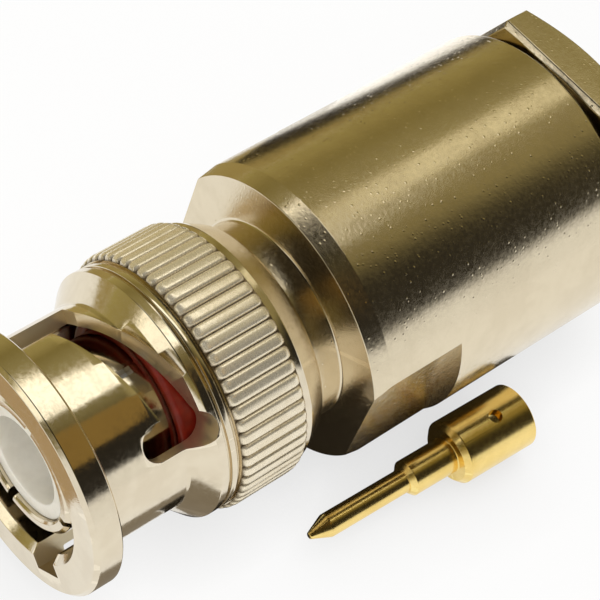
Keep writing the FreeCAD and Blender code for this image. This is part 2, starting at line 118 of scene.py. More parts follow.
def rounded(corners: Sequence[Corner], steps: int = 4, closed: bool = True) -> list[Ring]:
    """Rounds every corner of a half section, as a tool's nose and polishing do.

    Args:
        corners: Distance along the axis, radius and edge rounding, in millimetres.
        steps: Facets in a rounding of a right angle.
        closed: Whether the last corner joins the first.

    Returns:
        Points along the section, each with distance, radius and its outward normal.
    """
    count = len(corners)
    side = 1.0 if twice_area(corners) > 0 else -1.0
    points: list[Ring] = []

    def add(x: float, r: float, ux: float, ur: float) -> None:
        """Adds a point whose section runs along (ux, ur)."""
        points.append((x, r, side * ur, -side * ux))

    for i, (x, r, rounding) in enumerate(corners):
        if not closed and i in (0, count - 1):
            other = corners[1] if i == 0 else corners[count - 2]
            run = Vector((other[0] - x, other[1] - r)).normalized() * (1 if i == 0 else -1)
            add(x, r, run.x, run.y)
            continue
        here = Vector((x, r))
        before = here - Vector(corners[i - 1][:2])
        after = Vector(corners[(i + 1) % count][:2]) - here
        u, v = before.normalized(), after.normalized()
        bend = math.atan2(u.x * v.y - u.y * v.x, u.dot(v))
        if abs(bend) < STRAIGHT:
            add(x, r, u.x, u.y)
            continue
        slope = math.tan(abs(bend) / 2)
        reach = min(max(rounding, LEAST_ROUNDING) * slope, ROUNDING_SHARE * before.length,
                    ROUNDING_SHARE * after.length)
        radius = math.copysign(reach / slope, bend)
        start = here - u * reach
        centre = start + Vector((-u.y, u.x)) * radius
        facets = max(2, math.ceil(abs(bend) / (math.pi / 2) * steps))
        for k in range(facets + 1):
            turn = bend * k / facets
            spoke = start - centre
            cos, sin = math.cos(turn), math.sin(turn)
            add(centre.x + cos * spoke.x - sin * spoke.y, centre.y + sin * spoke.x + cos * spoke.y,
                cos * u.x - sin * u.y, sin * u.x + cos * u.y)
    return points


def even_angles(count: int) -> list[float]:
    """Equal steps round the axis, in radians."""
    return [2 * math.pi * k / count for k in range(count)]


def make_object(name: str, verts: Sequence[Sequence[float]],
                faces: Sequence[Sequence[int]]) -> Object:
    """Makes a linked mesh object.

    Args:
        name: The object's name.
        verts: Places in millimetres.
        faces: Vertex numbers of each face.

    Returns:
        The object, in metres.
    """
    mesh = bpy.data.meshes.new(name)
    mesh.from_pydata([(x * MM, y * MM, z * MM) for x, y, z in verts], [], faces)
    mesh.update()
    obj = bpy.data.objects.new(name, mesh)
    bpy.context.scene.collection.objects.link(obj)
    return obj


def turned(
    name: str,
    rings: Sequence[Ring],
    angles: Sequence[float],
    relief: Callable[[float, float, float], float] | None = None,
    closed: bool = True,
) -> Object:
    """Sweeps a section round the axis.

    Args:
        name: The object's name.
        rings: The section's points from rounded().
        angles: The angles of its copies.
        relief: Gives the radius at a distance, radius and angle, for knurls and threads.
        closed: Whether the section is a loop; otherwise both its ends lie on the axis.

    Returns:
        The object, smooth, with the section's own normals where it has no relief.
    """
    count, around = len(rings), len(angles)
    verts: list[tuple[float, float, float]] = []
    for x, r, _, _ in rings:
        for a in angles:
            radius = relief(x, r, a) if relief else r
            verts.append((x, radius * math.cos(a), radius * math.sin(a)))
    area = twice_area(rings)
    faces: list[tuple[int, ...]] = []
    for i in range(count if closed else count - 1):
        j = (i + 1) % count
        for k in range(around):
            m = (k + 1) % around
            face = (i * around + k, j * around + k, j * around + m, i * around + m)
            faces.append(face if area > 0 else face[::-1])
    if not closed:
        first = tuple(range(around))
        last = tuple((count - 1) * around + k for k in range(around))
        faces += [first[::-1], last] if area < 0 else [first, last[::-1]]
    obj = make_object(name, verts, faces)
    obj.data.shade_smooth()
    if relief is None:
        normals = [(nx, nr * math.cos(a), nr * math.sin(a)) for _, _, nx, nr in rings for a in angles]
        obj.data.normals_split_custom_set_from_vertices(normals)
    return obj


def lathe(name: str, section: Sequence[Corner], count: int = 128, steps: int = 4) -> Object:
    """Turns a closed section into a plain ring.

    Args:
        name: The object's name.
        section: Its corners, as for rounded().
        count: Facets round the axis.
        steps: Facets in a rounding of a right angle.

    Returns:
        The ring.
    """
    return turned(name, rounded(section, steps), even_angles(count))


def prism(name: str, outline: Sequence[tuple[float, float, float]], along: Vector) -> Object:
    """A straight solid, used as a cutter.

    Args:
        name: The object's name.
        outline: The corners of one end, in millimetres.
        along: From that end to the other, in millimetres.

    Returns:
        The object, with its faces outward.
    """
    count = len(outline)
    verts = [tuple(Vector(p)) for p in outline] + [tuple(Vector(p) + along) for p in outline]
    faces = [tuple(range(count))[::-1], tuple(range(count, 2 * count))]
    faces += [(i, (i + 1) % count, count + (i + 1) % count, count + i) for i in range(count)]
    obj = make_object(name, verts, faces)
    face_outward(obj)
    return obj


def slab(name: str, along: tuple[float, float], across: tuple[float, float], up: tuple[float, float],
         turn: float = 0.0) -> Object:
    """A block, used as a cutter.

    Args:
        name: The object's name.
        along: Where it starts and ends along the axis, in millimetres.
        across: Its two sides, along Y before its turn.
        up: Its two heights, along Z before its turn.
        turn: Its turn about the axis, in degrees.

    Returns:
        The object.
    """
    spin = Matrix.Rotation(math.radians(turn), 3, "X")
    corners = ((across[0], up[0]), (across[1], up[0]), (across[1], up[1]), (across[0], up[1]))
    return prism(name, [spin @ Vector((along[0], y, z)) for y, z in corners],
                 Vector((along[1] - along[0], 0, 0)))


def face_outward(obj: Object) -> None:
    """Turns a closed mesh's faces outward, by its signed volume."""
    mesh = obj.data
    volume = 0.0
    for polygon in mesh.polygons:
        corners = [mesh.vertices[v].co for v in polygon.vertices]
        for i in range(1, len(corners) - 1):
            volume += corners[0].dot(corners[i].cross(corners[i + 1]))
    if volume < 0:
        mesh.flip_normals()


def settle(obj: Object) -> Object:
    """Applies an object's modifiers to its mesh."""
    graph = bpy.context.evaluated_depsgraph_get()
    mesh = bpy.data.meshes.new_from_object(obj.evaluated_get(graph))
    obj.modifiers.clear()
    old = obj.data
    obj.data = mesh
    bpy.data.meshes.remove(old)
    return obj


def carve(obj: Object, tools: Iterable[Object], operation: str = "DIFFERENCE") -> None:
    """Cuts tools out of an object, one after another, and deletes them.

    Args:
        obj: The piece.
        tools: The cutting solids.
        operation: DIFFERENCE, or INTERSECT to keep what lies inside them.
    """
    for tool in tools:
        cut = obj.modifiers.new("cut", "BOOLEAN")
        cut.operation, cut.solver, cut.object = operation, "EXACT", tool
        settle(obj)
        bpy.data.objects.remove(tool)


def ease_edges(obj: Object, width: float, angle: float = 50.0) -> None:
    """Breaks the sharp edges that a cut has left, as tumbling does.

    Args:
        obj: The piece.
        width: The width of the broken edge in millimetres.
        angle: The bend from which an edge counts as sharp, in degrees.
    """
    weld = obj.modifiers.new("weld", "WELD")
    weld.merge_threshold = LEAST_ROUNDING * MM
    soften = obj.modifiers.new("soften", "BEVEL")
    soften.width, soften.segments, soften.limit_method = width * MM, 2, "ANGLE"
    soften.angle_limit, soften.use_clamp_overlap = math.radians(angle), True
    settle(obj)


def crisp(obj: Object, angle: float = 32.0) -> None:
    """Smooths a mesh up to an angle between faces, lets broad faces set the normals, and keeps flats flat.

    Args:
        obj: The piece.
        angle: The sharpest bend that stays smooth, in degrees.
    """
    obj.data.shade_smooth()
    obj.data.set_sharp_from_angle(angle=math.radians(angle))
    for polygon in obj.data.polygons:
        polygon.use_smooth = max(abs(polygon.normal.x), abs(polygon.normal.y)) < ALONG_AN_AXIS
    weighted = obj.modifiers.new("face_weighted", "WEIGHTED_NORMAL")
    weighted.keep_sharp, weighted.mode, weighted.weight = True, "FACE_AREA", 60


def place(obj: Object, rider: Rider, slot: Slot, material: Material, stands_for: Sequence[str] = ()) -> None:
    """Dresses a piece and ties it to its CAD body.

    Args:
        obj: The piece, in place.
        rider: The body that it moves with.
        slot: The record's slot for its finish; not used.
        material: The finish.
        stands_for: The CAD nodes that it is shown for.
    """
    obj.data.materials.clear()
    obj.data.materials.append(material)
    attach(obj, rider.value)
    if stands_for:
        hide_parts(*stands_for)
    log.info("%s: %d faces, rides on %s, %s", obj.name, len(obj.data.polygons), rider.value, material.name)


def dress_faces(obj: Object, material: Material,
                chosen: Callable[[float, float, float], bool]) -> None:
    """Gives some faces of a placed piece a second finish.

    Args:
        obj: The piece.
        material: The second finish.
        chosen: Picks a face by its distance along the axis, its radius and its normal's lean from the axis.
    """
    obj.data.materials.append(material)
    for polygon in obj.data.polygons:
        x, y, z = (c / MM for c in polygon.center)
        r = max(math.hypot(y, z), 1e-6)
        if chosen(x, r, (polygon.normal.y * y + polygon.normal.z * z) / r):
            polygon.material_index = 1


class Graph:
    """A small helper that places and joins shader nodes."""

    def __init__(self, tree: NodeTree) -> None:
        """Starts with an empty tree."""
        self.tree = tree
        tree.nodes.clear()

    def add(self, kind: str, inputs: dict[int | str, object] | None = None, **settings: object) -> Node:
        """Adds a node.

        Args:
            kind: The node's type name, without its ShaderNode prefix.
            inputs: What its inputs take, by name or number: a value, or the socket that feeds it.
            **settings: Its properties.

        Returns:
            The node.
        """
        prefix = "" if kind.startswith("Node") else "ShaderNode"
        node = self.tree.nodes.new(prefix + kind)
        for name, value in settings.items():
            setattr(node, name, value)
        for name, value in (inputs or {}).items():
            self.feed(node.inputs[name], value)
        return node

    def feed(self, target: Socket, source: object) -> None:
        """Joins a socket to another, or sets its value."""
        if isinstance(source, Socket):
            self.tree.links.new(source, target)
        else:
            target.default_value = source

    def math(self, operation: str, *values: object) -> Socket:
        """A Math node's result."""
        return self.add("Math", dict(enumerate(values)), operation=operation).outputs[0]

    def vector(self, operation: str, *values: object) -> Node:
        """A Vector Math node."""
        return self.add("VectorMath", dict(enumerate(values)), operation=operation)

    def span(self, value: object, low: object, high: object, out_low: float = 0.0, out_high: float = 1.0,
             smooth: bool = True) -> Socket:
        """Maps a value from one range to another, clamped at both ends."""
        inputs = dict(enumerate((value, low, high, out_low, out_high)))
        kind = "SMOOTHSTEP" if smooth else "LINEAR"
        return self.add("MapRange", inputs, interpolation_type=kind).outputs[0]

    def linear(self, share: Socket, low: float, high: float) -> Socket:
        """A value from low to high, as the share goes from 0 to 1."""
        return self.span(share, 0.0, 1.0, low, high, smooth=False)

    def weighted(self, first: Socket, first_weight: float, second: Socket, second_weight: float) -> Socket:
        """The sum of two values, each times its weight."""
        return self.math("ADD", self.math("MULTIPLY", first, first_weight),
                         self.math("MULTIPLY", second, second_weight))

    def mix(self, share: object, first: object, second: object) -> Socket:
        """A colour mix's result."""
        return self.add("Mix", {0: share, 6: first, 7: second}, data_type="RGBA").outputs[2]

    def noise(self, where: Socket, scale: object, detail: float = 2.0, roughness: float = 0.5) -> Socket:
        """A noise texture's value."""
        inputs = {"Vector": where, "Scale": scale, "Detail": detail, "Roughness": roughness}
        return self.add("TexNoise", inputs).outputs["Fac"]


    def effect(self, group: NodeTree, where: Socket, setting: float | None = None) -> Sockets:
        """Places a group in a material.

        Args:
            group: The group.
            where: The coordinates it works on.
            setting: Its second input, if it isn't left as it is.

        Returns:
            The group's outputs.
        """
        inputs = {0: where} if setting is None else {0: where, 1: setting}
        return self.add("Group", inputs, node_tree=group).outputs


def new_material(name: str) -> tuple[Material, Graph, Socket]:
    """Makes an empty material.

    Args:
        name: Its name.

    Returns:
        The material, its graph and the socket that takes its surface.
    """
    material = bpy.data.materials.new(name)
    material.use_nodes = True
    graph = Graph(material.node_tree)
    return material, graph, graph.add("OutputMaterial").inputs["Surface"]


def rgba(colour: Colour) -> tuple[float, float, float, float]:
    """A colour with full alpha."""
    return (*colour, 1.0)


class SurfaceEffects:
    """Node groups that several finishes share."""

    def __init__(self) -> None:
        """Builds the groups once."""
        self.grain = self._grain()
        self.handling = self._handling()
        self.lathe_lines = self._lathe_lines()
        self.edge = self._edge()

    @staticmethod
    def _start(name: str, setting: str, value: float) -> tuple[Graph, Socket, Socket]:
        """Makes an empty group.

        Args:
            name: The group's name.
            setting: The name of its value input, which comes after its Vector.
            value: That input's default.

        Returns:
            Its graph and its two inputs.
        """
        group = bpy.data.node_groups.new(name, "ShaderNodeTree")
        new_socket = group.interface.new_socket
        new_socket(name="Vector", in_out="INPUT", socket_type="NodeSocketVector")
        new_socket(name=setting, in_out="INPUT", socket_type="NodeSocketFloat").default_value = value
        graph = Graph(group)
        given = graph.add("NodeGroupInput").outputs
        return graph, given[0], given[1]

    @staticmethod
    def _end(graph: Graph, **results: Socket) -> NodeTree:
        """Gives a group its outputs, and returns the group."""
        for label in results:
            graph.tree.interface.new_socket(name=label, in_out="OUTPUT", socket_type="NodeSocketFloat")
        graph.add("NodeGroupOutput", results)
        return graph.tree

    def _grain(self) -> NodeTree:
        """Fine crystals of a plated or moulded skin, as a height and a mask, with a few raised specks."""
        graph, where, per_metre = self._start("skin_grain", "Per Metre", 9000.0)
        fine = graph.noise(where, per_metre, 2.0, 0.6)
        cells = graph.add("TexVoronoi", {"Vector": where, "Scale": graph.math("MULTIPLY", per_metre, 0.8)})
        from_middle = cells.outputs["Distance"]
        chance = graph.add("SeparateColor", {0: cells.outputs["Color"]}).outputs[0]
        dome = graph.span(from_middle, 0.02, 0.32, 1.0, 0.0)
        return self._end(graph, Height=graph.weighted(fine, 0.65, from_middle, 0.35),
                         Mask=graph.span(fine, 0.35, 0.68),
                         Specks=graph.math("MULTIPLY", dome, graph.span(chance, 0.4, 0.95)))

    def _handling(self) -> NodeTree:
        """Smudges and light dulling from handling, as a mask."""
        graph, where, per_metre = self._start("handling_marks", "Per Metre", 300.0)
        broad = graph.noise(where, per_metre, 3.0, 0.55)
        small = graph.noise(where, graph.math("MULTIPLY", per_metre, 4.0))
        return self._end(graph, Mask=graph.span(graph.weighted(broad, 0.7, small, 0.3), 0.38, 0.64))

    def _lathe_lines(self) -> NodeTree:
        """Faint rings that a turning tool leaves across the axis, as a height."""
        graph, where, per_metre = self._start("turning_rings", "Per Metre", 14000.0)
        along = graph.vector("MULTIPLY", where, (1.0, 0.0, 0.0)).outputs[0]
        return self._end(graph, Height=graph.noise(along, per_metre, 3.0, 0.7))

    def _edge(self) -> NodeTree:
        """Where rubbing has brightened convex edges, as a mask."""
        graph, where, sharpness = self._start("edge_rub", "Sharpness", 0.54)
        ragged = graph.math("MULTIPLY", graph.noise(where, 1500.0), 0.05)
        low = graph.math("ADD", sharpness, ragged)
        bulge = graph.add("NewGeometry").outputs["Pointiness"]
        return self._end(graph, Mask=graph.span(bulge, low, graph.math("ADD", low, 0.06)))


@dataclass(frozen=True)
class Plating:
    """A bright metal skin over turned brass.

    Sizes are in metres; the colours are the metal's own reflectance, clean and dulled. Where metal is below
    1, some of it looks like a matt skin. Rubbed edges are the clean colour times rub_gain plus rub_lift.
    Where root_tone_reach is given, the colour darkens towards the axis over a pair of radii in millimetres:
    it is darkest at the first and unchanged at the second.
    """

    name: str
    clean: Colour
    dulled: Colour
    smooth: float
    rough: float
    grain_per_metre: float = 9000.0
    grain_height: float = 2.0e-7
    speck_height: float = 0.0
    ring_height: float = 1.2e-7
    marks_per_metre: float = 260.0
    metal: float = 1.0
    root_tone_reach: tuple[float, float] | None = None
    root_tone: Colour = (0.13, 0.085, 0.035)
    rub_gain: float = 1.08
    rub_lift: float = 0.02

    def build(self, effects: SurfaceEffects) -> Material:
        """Makes the material."""
        material, graph, surface = new_material(self.name)
        where = graph.add("TexCoord").outputs["Object"]
        grain = graph.effect(effects.grain, where, self.grain_per_metre)
        marks = graph.effect(effects.handling, where, self.marks_per_metre)["Mask"]
        rings = graph.effect(effects.lathe_lines, where)["Height"]
        rub = graph.effect(effects.edge, where)["Mask"]
        rubbed = tuple(min(1.0, part * self.rub_gain + self.rub_lift) for part in self.clean)
        colour = graph.mix(rub, graph.mix(marks, rgba(self.clean), rgba(self.dulled)), rgba(rubbed))
        # Darker towards the groove roots, by radius from the axis.
        if self.root_tone_reach:
            across = graph.vector("LENGTH", graph.vector("MULTIPLY", where, (0.0, 1.0, 1.0)).outputs[0])
            bottom, brim = (r * MM for r in self.root_tone_reach)
            share = graph.span(across.outputs["Value"], bottom, brim, 1.0, 0.0, smooth=False)
            colour = graph.mix(share, colour, rgba(self.root_tone))
        uneven = graph.weighted(grain["Mask"], 0.75, marks, 0.25)
        crystals = graph.weighted(grain["Height"], self.grain_height, grain["Specks"], self.speck_height)
        tooled = graph.add("Bump", {"Distance": self.ring_height, "Height": rings}).outputs[0]
        plated = graph.add("Bump", {"Distance": 1.0, "Height": crystals, "Normal": tooled}).outputs[0]
        shader = graph.add("BsdfPrincipled", {
            "Base Color": colour, "Metallic": self.metal, "Normal": plated,
            "Roughness": graph.linear(uneven, self.smooth, self.rough)})
        graph.feed(surface, shader.outputs[0])
        return material


@dataclass(frozen=True)
class Moulding:
    """A plastic or rubber piece, slightly waxy or powdery; light enters it down to a depth in metres."""

    name: str
    fresh: Colour
    worn: Colour
    smooth: float
    rough: float
    grain_height: float = 2.0e-6
    grain_per_metre: float = 7000.0
    marks_per_metre: float = 500.0
    depth: float = 0.0
    milkiness: float = 0.6
    milk_reach: tuple[float, float, float] = (1.0, 0.95, 0.9)

    def build(self, effects: SurfaceEffects) -> Material:
        """Makes the material."""
        material, graph, surface = new_material(self.name)
        where = graph.add("TexCoord").outputs["Object"]
        grain = graph.effect(effects.grain, where, self.grain_per_metre)
        marks = graph.effect(effects.handling, where, self.marks_per_metre)["Mask"]
        bump = graph.add("Bump", {"Distance": self.grain_height, "Height": grain["Height"]})
        inputs = {"Base Color": graph.mix(marks, rgba(self.fresh), rgba(self.worn)),
                  "Roughness": graph.linear(grain["Mask"], self.smooth, self.rough),
                  "Normal": bump.outputs[0]}
        if self.depth:
            inputs |= {"Subsurface Weight": self.milkiness, "Subsurface Scale": self.depth,
                       "Subsurface Radius": self.milk_reach}
        graph.feed(surface, graph.add("BsdfPrincipled", inputs).outputs[0])
        return material


SATIN_NICKEL = Plating("satin_nickel", (0.76, 0.665, 0.49), (0.72, 0.625, 0.455), 0.17, 0.25,
                       grain_per_metre=4600.0, grain_height=5.0e-6, speck_height=1.1e-5, ring_height=1.5e-7)
BRIGHT_NICKEL = Plating("bright_nickel", (0.78, 0.695, 0.535), (0.73, 0.64, 0.485), 0.10, 0.18,
                        grain_per_metre=4200.0, grain_height=2.2e-6, speck_height=1.2e-6)
KNURLED_NICKEL = Plating("knurled_nickel", (0.92, 0.83, 0.65), (0.85, 0.75, 0.56), 0.22, 0.32,
                         grain_per_metre=5000.0, grain_height=1.2e-6, speck_height=0.8e-6, metal=0.7,
                         root_tone_reach=(6.97, 7.17))
CUT_NICKEL = Plating("cut_nickel", (0.78, 0.67, 0.46), (0.66, 0.54, 0.35), 0.28, 0.40,
                     grain_per_metre=5000.0, grain_height=6.0e-6, speck_height=3.0e-6, metal=0.9)
BRIGHT_GOLD = Plating("bright_gold", (0.95, 0.72, 0.27), (0.88, 0.64, 0.21), 0.19, 0.27,
                      grain_per_metre=6000.0, grain_height=1.0e-6, ring_height=2.5e-7)
SPRING_METAL = Plating("spring_metal", (0.60, 0.58, 0.54), (0.50, 0.48, 0.44), 0.22, 0.34)
WAXY_WHITE = Moulding("waxy_white", (0.82, 0.79, 0.72), (0.76, 0.73, 0.66), 0.32, 0.46, depth=0.0008)
# The red is darker than the rubber's own colour; that part is painted shade, for a gasket that lies in the
# nut's shade.
RED_RUBBER = Moulding("red_rubber", (0.24, 0.016, 0.006), (0.17, 0.011, 0.005), 0.30, 0.46)
DARK_RUBBER = Moulding("dark_rubber", (0.035, 0.034, 0.033), (0.055, 0.053, 0.05), 0.5, 0.72,
                       grain_height=4.0e-6)


@dataclass
class Finishes:
    """Every material of the plug, built once."""

    effects: SurfaceEffects = field(default_factory=SurfaceEffects)
    made: dict[str, Material] = field(default_factory=dict)

    def get(self, finish: Plating | Moulding) -> Material:
        """The material of a finish, made at its first use."""
        if finish.name not in self.made:
            self.made[finish.name] = finish.build(self.effects)
        return self.made[finish.name]


@dataclass
class CouplingNut:
    """The nut that locks the plug on its socket: rim, slotted barrel, knurled grip and tail."""

    finishes: Finishes
    turn: float = 134.5
    rim: float = 7.2
    rim_width: float = 1.65
    front_break: float = 0.22
    rear_break: float = 0.11
    barrel: float = 5.75
    bore: float = 4.95
    mouth: float = 5.35
    mouth_depth: float = 0.45
    bevel_start: float = 6.6
    bevel_end: float = 7.75
    bevel_slope: float = 1.043
    land: float = 6.95
    land_end: float = 8.2
    groove_root: float = 6.73
    parting: float = 8.3
    second_land: tuple[float, float] = (8.4, 8.75)
    knurl: tuple[float, float] = (8.95, 13.05)
    knurl_top: float = 7.25
    knurl_root: float = 6.98
    knurl_bevel: float = 0.45
    teeth: int = 60
    crown_power: int = 4
    tail: float = 6.92
    tail_start: float = 13.45
    tail_end: float = 6.27
    tail_break: float = 0.2
    length: float = 14.85
    neck_bore: float = 4.46
    shoulder: float = 12.7
    slot_half: float = 1.0
    ramp_start: float = 4.9
    ramp_rise: float = 2.2
    detent_front: float = 5.45
    detent_side: float = -3.9
    detent_reach: float = -4.2
    entry_top: float = 6.05
    entry_end: float = 5.95
    row_gap: float = 0.5
    bore_margin: float = 0.02
    skin_margin: float = 0.03

    def build(self) -> None:
        """Makes both pieces; the slots' sawn walls and the pressed knurl are duller than the rest."""
        bright = self.finishes.get(BRIGHT_NICKEL)
        mouth, grip = self.make_mouth(), self.make_grip()
        place(mouth, Rider.COUPLING, Slot.NICKEL, bright, ["coupling_nut"])
        dress_faces(mouth, self.finishes.get(CUT_NICKEL), self.in_slot_wall)
        place(grip, Rider.COUPLING, Slot.NICKEL, bright)
        dress_faces(grip, self.finishes.get(KNURLED_NICKEL), self.in_knurl)

    def in_slot_wall(self, x: float, r: float, lean: float) -> bool:
        """Whether a face of the mouth is one of the walls that the slots have cut through the barrel.

        Args:
            x: The face's distance along the axis, in millimetres.
            r: Its radius.
            lean: How far its normal points away from the axis, from -1 to 1.

        Returns:
            True for a slot's wall.
        """
        outside = self.barrel + max(0.0, x - self.bevel_start) * self.bevel_slope
        inside_metal = self.bore + self.bore_margin < r < outside - self.skin_margin
        return abs(lean) < 0.5 and self.rim_width < x < self.land_end - self.bore_margin and inside_metal

    def in_knurl(self, x: float, r: float, lean: float) -> bool:
        """Whether a face of the grip is part of the knurl; takes the same values as in_slot_wall()."""
        return self.knurl[0] < x < self.knurl[1] and r > self.knurl_root - 0.1 and lean > -0.5

    def make_mouth(self) -> Object:
        """The rim and barrel, with the two bayonet slots cut through."""
        rear = self.rim_width
        section: list[Corner] = [
            (0.0, self.mouth, 0.05), (0.0, self.rim - self.front_break, 0.06),
            (self.front_break, self.rim, 0.08), (rear - self.rear_break, self.rim, 0.08),
            (rear, self.rim - self.rear_break, 0.05), (rear, self.barrel, 0.12),
            (self.bevel_start, self.barrel, 0.3), (self.bevel_end, self.land, 0.08),
            (self.land_end, self.land, 0.05), (self.land_end, self.groove_root, 0.03),
            (self.parting, self.groove_root, 0.004), (self.parting, self.bore, 0.004),
            (self.mouth_depth, self.bore, 0.05)]
        mouth = turned("coupling_nut_mouth", self.with_rows(rounded(section)), even_angles(360))
        carve(mouth, self.slot_tools())
        ease_edges(mouth, 0.06)
        crisp(mouth)
        return mouth

    def with_rows(self, rings: list[Ring]) -> list[Ring]:
        """Adds rings on the long straight runs, so that facets beside the slots stay short."""
        out: list[Ring] = []
        for here, there in zip(rings, [*rings[1:], rings[0]]):
            out.append(here)
            rows = int(math.hypot(there[0] - here[0], there[1] - here[1]) / self.row_gap)
            out += [tuple(a + (b - a) * k / rows for a, b in zip(here, there)) for k in range(1, rows)]
        return out

    def slot_tools(self) -> list[Object]:
        """The cutters of the two slots: straight entry, quarter-turn ramp and round-ended detent."""
        half, tools = self.slot_half, []
        front, rear = self.detent_front, self.ramp_start + self.ramp_rise
        arc = [math.radians(90 + 7.5 * k) for k in range(25)]
        stadium = [(front + half * math.cos(a), half * math.sin(a)) for a in arc]
        stadium += [(rear - half * math.cos(a), -half * math.sin(a)) for a in arc]
        for number in range(2):
            degrees = self.turn + 180 * number
            turn = Matrix.Rotation(math.radians(degrees), 3, "X")
            outline = [turn @ Vector((x, self.detent_side, z)) for x, z in stadium]
            tools += [
                slab(f"entry_tool_{number}", (-0.5, self.entry_end), (-half, half),
                     (self.bore - half / 2, self.entry_top), degrees),
                self.ramp_tool(number, math.radians(degrees)),
                prism(f"detent_tool_{number}", outline, turn @ Vector((0, self.detent_reach, 0)))]
        return tools

    def ramp_tool(self, number: int, spin: float) -> Object:
        """The cutter of one ramp, a rectangle swept a quarter turn along the helix.

        Args:
            number: Which slot.
            spin: The nut's own turn and the slot's, in radians.

        Returns:
            The cutter.
        """
        steps, half = 90, self.slot_half
        low, high = self.bore - half / 2, self.rim - half / 2
        verts: list[tuple[float, float, float]] = []
        for k in range(steps + 1):
            angle = spin + math.radians(90 + 90 * k / steps)
            x = self.ramp_start + self.ramp_rise * k / steps
            for dx, r in ((-half, low), (half, low), (half, high), (-half, high)):
                verts.append((x + dx, r * math.cos(angle), r * math.sin(angle)))
        faces: list[tuple[int, ...]] = [(0, 1, 2, 3), tuple(4 * steps + i for i in (3, 2, 1, 0))]
        for k in range(steps):
            for i in range(4):
                a, b = 4 * k + i, 4 * k + (i + 1) % 4
                faces.append((b, a, a + 4, b + 4))
        tool = make_object(f"ramp_tool_{number}", verts, faces)
        face_outward(tool)
        return tool

    def make_grip(self) -> Object:
        """The ringed collar, straight knurl and plain tail."""
        start, end = self.knurl
        bevel_rows = (0.0, 0.02, 0.05, 0.09, 0.14, 0.2, 0.27, 0.35, self.knurl_bevel)
        section: list[Corner] = [
            (self.parting, self.bore, 0.004), (self.parting, self.groove_root, 0.004),
            (self.second_land[0], self.groove_root, 0.03), (self.second_land[0], self.land, 0.05),
            (self.second_land[1], self.land, 0.05), (self.second_land[1], self.groove_root, 0.03),
            (start, self.groove_root, 0.03)]
        section += [(start + row, self.knurl_top, 0.001) for row in bevel_rows]
        section += [(end - row, self.knurl_top, 0.001) for row in reversed(bevel_rows)]
        section += [
            (end, self.tail, 0.01), (self.tail_start, self.tail, 0.15),
            (self.length - self.tail_break, self.tail_end, 0.08),
            (self.length, self.tail_end - self.tail_break, 0.05), (self.length, self.neck_bore, 0.04),
            (self.shoulder, self.neck_bore, 0.03), (self.shoulder, self.bore, 0.03)]
        phases = (0.0, 0.02, 0.05, 0.1, 0.16, 0.24, 0.34, 0.45, 0.55, 0.66, 0.76, 0.84, 0.9, 0.95, 0.98)
        angles = [2 * math.pi * (tooth + phase) / self.teeth
                  for tooth in range(self.teeth) for phase in phases]
        grip = turned("coupling_nut_grip", rounded(section, 3), angles, self.tooth_radius)
        crisp(grip, 48.0)
        return grip

    def tooth_radius(self, x: float, r: float, angle: float) -> float:
        """The radius of the knurl at a place on the grip.

        Args:
            x: Distance along the axis.
            r: The radius of the blank there.
            angle: Angle round the axis, in radians.

        Returns:
            The radius with the grooves pressed in.
        """
        start, end = self.knurl
        if not start - TINY <= x <= end + TINY or r <= self.knurl_root:
            return r
        beside = abs(2 * ((angle * self.teeth / (2 * math.pi)) % 1.0) - 1)
        inward = min(1.0, max(0.0, min(x - start, end - x)) / self.knurl_bevel)
        width = 1 - (1 - inward) ** 2
        crown = math.sqrt(max(0.0, width - beside ** self.crown_power))
        return self.knurl_root + (r - self.knurl_root) * crown


